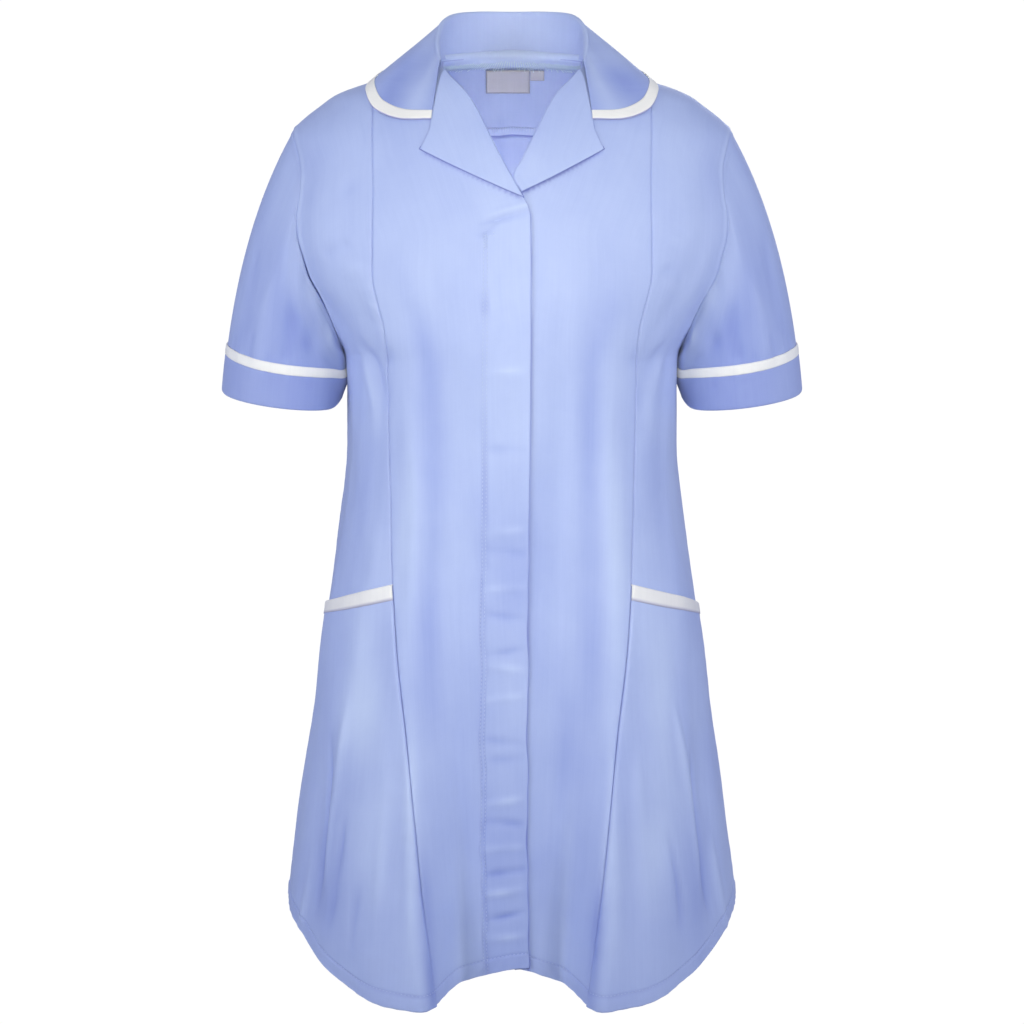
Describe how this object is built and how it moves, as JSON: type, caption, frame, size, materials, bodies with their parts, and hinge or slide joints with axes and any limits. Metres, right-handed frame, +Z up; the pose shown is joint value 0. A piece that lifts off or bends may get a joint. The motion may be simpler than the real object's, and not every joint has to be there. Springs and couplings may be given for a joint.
{
  "type": "maternity tunic",
  "caption": "Short-sleeved maternity tunic with turned lapels, a folded collar, white trim and a flared panelled skirt, hollow as if worn.",
  "frame": {"origin": "between the neck ends of the shoulder seams, where the wearer's shoulders hold the tunic", "axes": "+Z up, -Y out of the tunic's front, +X to the viewer's right, which is the wearer's left"},
  "size_m": [0.526, 0.3278, 0.8572],
  "materials": {
    "tunic_cloth": "pale blue poly-cotton in a fine plain weave, matt with a soft sheen",
    "white_trim": "white poly-cotton binding, matt",
    "label_cloth": "blank grey woven label tape"
  },
  "bodies": {
    "root": {"front_right": "tunic_cloth", "front_left": "tunic_cloth", "side_front_right": "tunic_cloth", "side_front_left": "tunic_cloth", "back_yoke": "tunic_cloth", "back_body": "tunic_cloth", "sleeve_right": "tunic_cloth", "sleeve_left": "tunic_cloth", "cuff_right": "tunic_cloth", "cuff_left": "tunic_cloth", "cuff_trim_right": "white_trim", "cuff_trim_left": "white_trim", "lapel_right": "tunic_cloth", "lapel_left": "tunic_cloth", "pocket_right": "tunic_cloth", "pocket_left": "tunic_cloth", "pocket_trim_right": "white_trim", "pocket_trim_left": "white_trim", "collar": "tunic_cloth", "collar_binding": "white_trim", "neck_seam": "tunic_cloth", "neck_label": "label_cloth", "size_tab": "label_cloth"}
  },
  "joints": []
}
